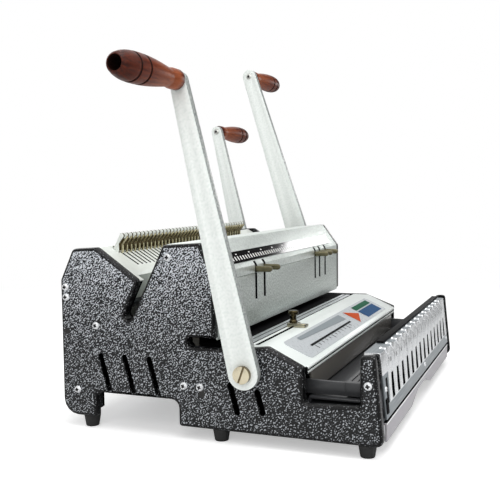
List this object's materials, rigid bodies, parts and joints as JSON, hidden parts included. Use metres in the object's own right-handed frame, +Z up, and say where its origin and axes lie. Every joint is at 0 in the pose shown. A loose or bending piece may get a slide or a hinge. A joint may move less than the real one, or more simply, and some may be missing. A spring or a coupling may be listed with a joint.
{
  "type": "coil and wire binding machine",
  "caption": "Desk binding machine with side levers: pin punch with an open-sided paper throat, hook comb opener behind it and wire closer with a trough in front.",
  "frame": {"origin": "on the floor under the middle of the whole machine's box, levers at rest", "axes": "+Z up, +X to the operator's right, -Y towards the operator (front)"},
  "size_m": [0.687, 0.3708, 0.4189],
  "materials": {
    "hammertone_paint": "hammertone",
    "frame_steel": "satin",
    "cover_aluminium": "satin",
    "white_paint": "satin",
    "arm_paint": "satin",
    "mahogany": "lacquered",
    "brass": "polished",
    "tool_steel": "ground",
    "hook_steel": "yellow passivated",
    "chrome": "polished",
    "dark_paint": "satin",
    "nickel_plate": "bright",
    "panel_paint": "satin",
    "black_plastic": "gloss",
    "rubber": "matt",
    "printed_film": "satin",
    "screw_steel": "plated",
    "black_steel": "black oxide"
  },
  "bodies": {
    "frame": {"left_side_casing": "hammertone_paint", "right_side_casing": "hammertone_paint", "left_frame_plate": "black_steel", "right_frame_plate": "black_steel", "base_plate": "frame_steel", "rear_cover": "cover_aluminium", "rubber_feet": "rubber", "casing_screws": "screw_steel", "shaft_bushes": "brass", "die_block": "tool_steel", "pin_guide_plate": "tool_steel", "paper_stop": "tool_steel", "ram_guide_posts": "tool_steel", "punch_front_plate": "cover_aluminium", "punch_top_cover": "cover_aluminium", "punch_rear_wall": "cover_aluminium", "scale_strip": "black_plastic", "table_top": "cover_aluminium", "label_panel": "printed_film", "trim_rail": "chrome", "table_fascia": "dark_paint", "trough_floor": "frame_steel", "closer_plate": "nickel_plate", "closer_pad": "black_plastic", "lower_front_panel": "panel_paint", "opener_plate": "white_paint", "opener_comb": "white_paint", "hook_rails": "black_steel"},
    "punch_lever": {"punch_shaft": "frame_steel", "punch_arm": "arm_paint", "punch_pivot_screw": "brass", "punch_grip_bolt": "screw_steel"},
    "punch_grip": {"punch_grip": "mahogany"},
    "ram": {"punch_ram": "black_steel", "punch_pins": "tool_steel"},
    "closer_lever": {"closer_shaft": "frame_steel", "closer_arm": "arm_paint", "closer_pivot_screw": "brass", "closer_grip_bolt": "screw_steel"},
    "closer_grip": {"closer_grip": "mahogany"},
    "jaw": {"closer_jaw": "tool_steel", "jaw_links": "black_steel"},
    "opener_lever": {"opener_shaft": "frame_steel", "opener_arm": "arm_paint", "opener_pivot_screw": "brass", "opener_grip_bolt": "screw_steel"},
    "opener_grip": {"opener_grip": "mahogany"},
    "hook_slide": {"hook_bar": "black_steel", "opener_hooks": "hook_steel"},
    "side_guide": {"side_guide": "brass"},
    "guide_knob": {"guide_knob": "brass"},
    "chip_tray": {"chip_tray": "dark_paint"},
    "tab_1": {"pull_tab_1": "hook_steel"},
    "tab_2": {"pull_tab_2": "hook_steel"},
    "tab_3": {"pull_tab_3": "hook_steel"},
    "tab_4": {"pull_tab_4": "hook_steel"},
    "tab_5": {"pull_tab_5": "hook_steel"}
  },
  "joints": [
    {"name": "punch_lever_swing", "type": "hinge", "parent": "frame", "child": "punch_lever", "pos_m": [-0.011, 0.02158, 0.11792], "axis": [1, 0, 0], "range_deg": [0, 75], "stiffness_Nm_per_rad": 0.8, "springref_deg": -45.84},
    {"name": "punch_grip_spin", "type": "hinge", "parent": "punch_lever", "child": "punch_grip", "pos_m": [0.279, 0.1124, 0.40594], "axis": [1, 0, 0], "continuous": true},
    {"name": "ram_slide", "type": "slide", "parent": "frame", "child": "ram", "axis": [0, 0, -1], "range_m": [0, 0.02192]},
    {"name": "tab_1_pull", "type": "slide", "parent": "ram", "child": "tab_1", "axis": [0, -1, 0], "range_m": [0, 0.008]},
    {"name": "tab_2_pull", "type": "slide", "parent": "ram", "child": "tab_2", "axis": [0, -1, 0], "range_m": [0, 0.008]},
    {"name": "tab_3_pull", "type": "slide", "parent": "ram", "child": "tab_3", "axis": [0, -1, 0], "range_m": [0, 0.008]},
    {"name": "tab_4_pull", "type": "slide", "parent": "ram", "child": "tab_4", "axis": [0, -1, 0], "range_m": [0, 0.008]},
    {"name": "tab_5_pull", "type": "slide", "parent": "ram", "child": "tab_5", "axis": [0, -1, 0], "range_m": [0, 0.008]},
    {"name": "closer_lever_swing", "type": "hinge", "parent": "frame", "child": "closer_lever", "pos_m": [-0.011, -0.06092, 0.07], "axis": [1, 0, 0], "range_deg": [0, 84]},
    {"name": "closer_grip_spin", "type": "hinge", "parent": "closer_lever", "child": "closer_grip", "pos_m": [-0.301, -0.00019, 0.33514], "axis": [1, 0, 0], "continuous": true},
    {"name": "jaw_slide", "type": "slide", "parent": "frame", "child": "jaw", "axis": [0, 1, 0], "range_m": [0, 0.02502]},
    {"name": "opener_lever_swing", "type": "hinge", "parent": "frame", "child": "opener_lever", "pos_m": [-0.011, 0.12458, 0.11202], "axis": [1, 0, 0], "range_deg": [0, 60]},
    {"name": "opener_grip_spin", "type": "hinge", "parent": "opener_lever", "child": "opener_grip", "pos_m": [0.289, 0.17242, 0.32778], "axis": [1, 0, 0], "continuous": true},
    {"name": "hook_slide", "type": "slide", "parent": "frame", "child": "hook_slide", "axis": [0, -0.8572, -0.515], "range_m": [0, 0.02]},
    {"name": "side_guide_slide", "type": "slide", "parent": "frame", "child": "side_guide", "axis": [-1, 0, 0], "range_m": [0, 0.1]},
    {"name": "guide_knob_turn", "type": "hinge", "parent": "side_guide", "child": "guide_knob", "pos_m": [-0.088, -0.05842, 0.095], "axis": [0, 0, 1], "range_deg": [0, 270]},
    {"name": "chip_tray_slide", "type": "slide", "parent": "frame", "child": "chip_tray", "axis": [0, 1, 0], "range_m": [0, 0.12]}
  ],
  "couplings": [
    {"joint": "ram_slide", "follows": "punch_lever_swing", "m_per_rad": 0.016742},
    {"joint": "jaw_slide", "follows": "closer_lever_swing", "m_per_rad": 0.017069},
    {"joint": "hook_slide", "follows": "opener_lever_swing", "m_per_rad": 0.019098}
  ]
}
